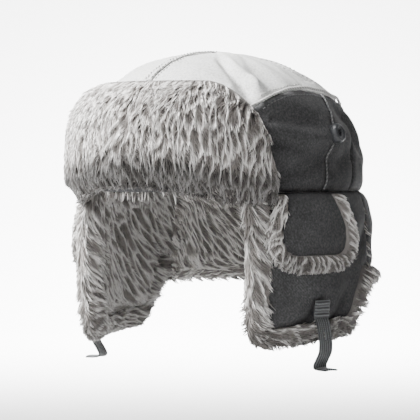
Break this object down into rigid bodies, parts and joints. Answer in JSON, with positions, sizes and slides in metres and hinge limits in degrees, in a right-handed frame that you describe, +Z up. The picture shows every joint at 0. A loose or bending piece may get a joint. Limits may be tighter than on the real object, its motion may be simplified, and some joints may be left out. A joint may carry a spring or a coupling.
{
  "type": "ushanka",
  "caption": "Ushanka hat with a light top over dark cloth walls, a turned-up fur front flap, fur-lined ear and neck flaps, ear covers, snap buttons and straps.",
  "frame": {"origin": "centre of the head opening at the waist seam, where the crown meets the flaps", "axes": "+Z up through the crown, -Y towards the front flap, +X to the wearer's left"},
  "size_m": [0.2402, 0.2771, 0.239],
  "materials": {
    "light_cloth": "light brushed cloth",
    "dark_cloth": "dark woven cloth",
    "fur": "deep plush pile",
    "webbing": "woven tape",
    "snap_plastic": "satin",
    "light_piping": "light cord piping"
  },
  "bodies": {
    "root": {"crown_back": "dark_cloth", "crown_lining_fur": "fur", "crown_piping": "light_piping", "crown_rear_side_left": "dark_cloth", "crown_rear_side_right": "dark_cloth", "crown_seam_tape": "light_cloth", "crown_side_left": "dark_cloth", "crown_side_right": "dark_cloth", "crown_top_left": "light_cloth", "crown_top_right": "light_cloth", "ear_cover_cloth_left": "dark_cloth", "ear_cover_cloth_right": "dark_cloth", "ear_cover_fur_left": "fur", "ear_cover_fur_right": "fur", "ear_flap_cloth_left": "dark_cloth", "ear_flap_cloth_right": "dark_cloth", "ear_flap_fur_left": "fur", "ear_flap_fur_right": "fur", "front_flap_cloth": "dark_cloth", "front_flap_fur": "fur", "neck_flap_cloth": "dark_cloth", "neck_flap_fur": "fur", "side_piping_lower_left": "dark_cloth", "side_piping_lower_right": "dark_cloth", "side_piping_upper_left": "dark_cloth", "side_piping_upper_right": "dark_cloth", "snap_button_left": "snap_plastic", "snap_button_right": "snap_plastic", "strap_left": "webbing", "strap_right": "webbing", "strap_tab_left": "webbing", "strap_tab_right": "webbing"}
  },
  "joints": []
}
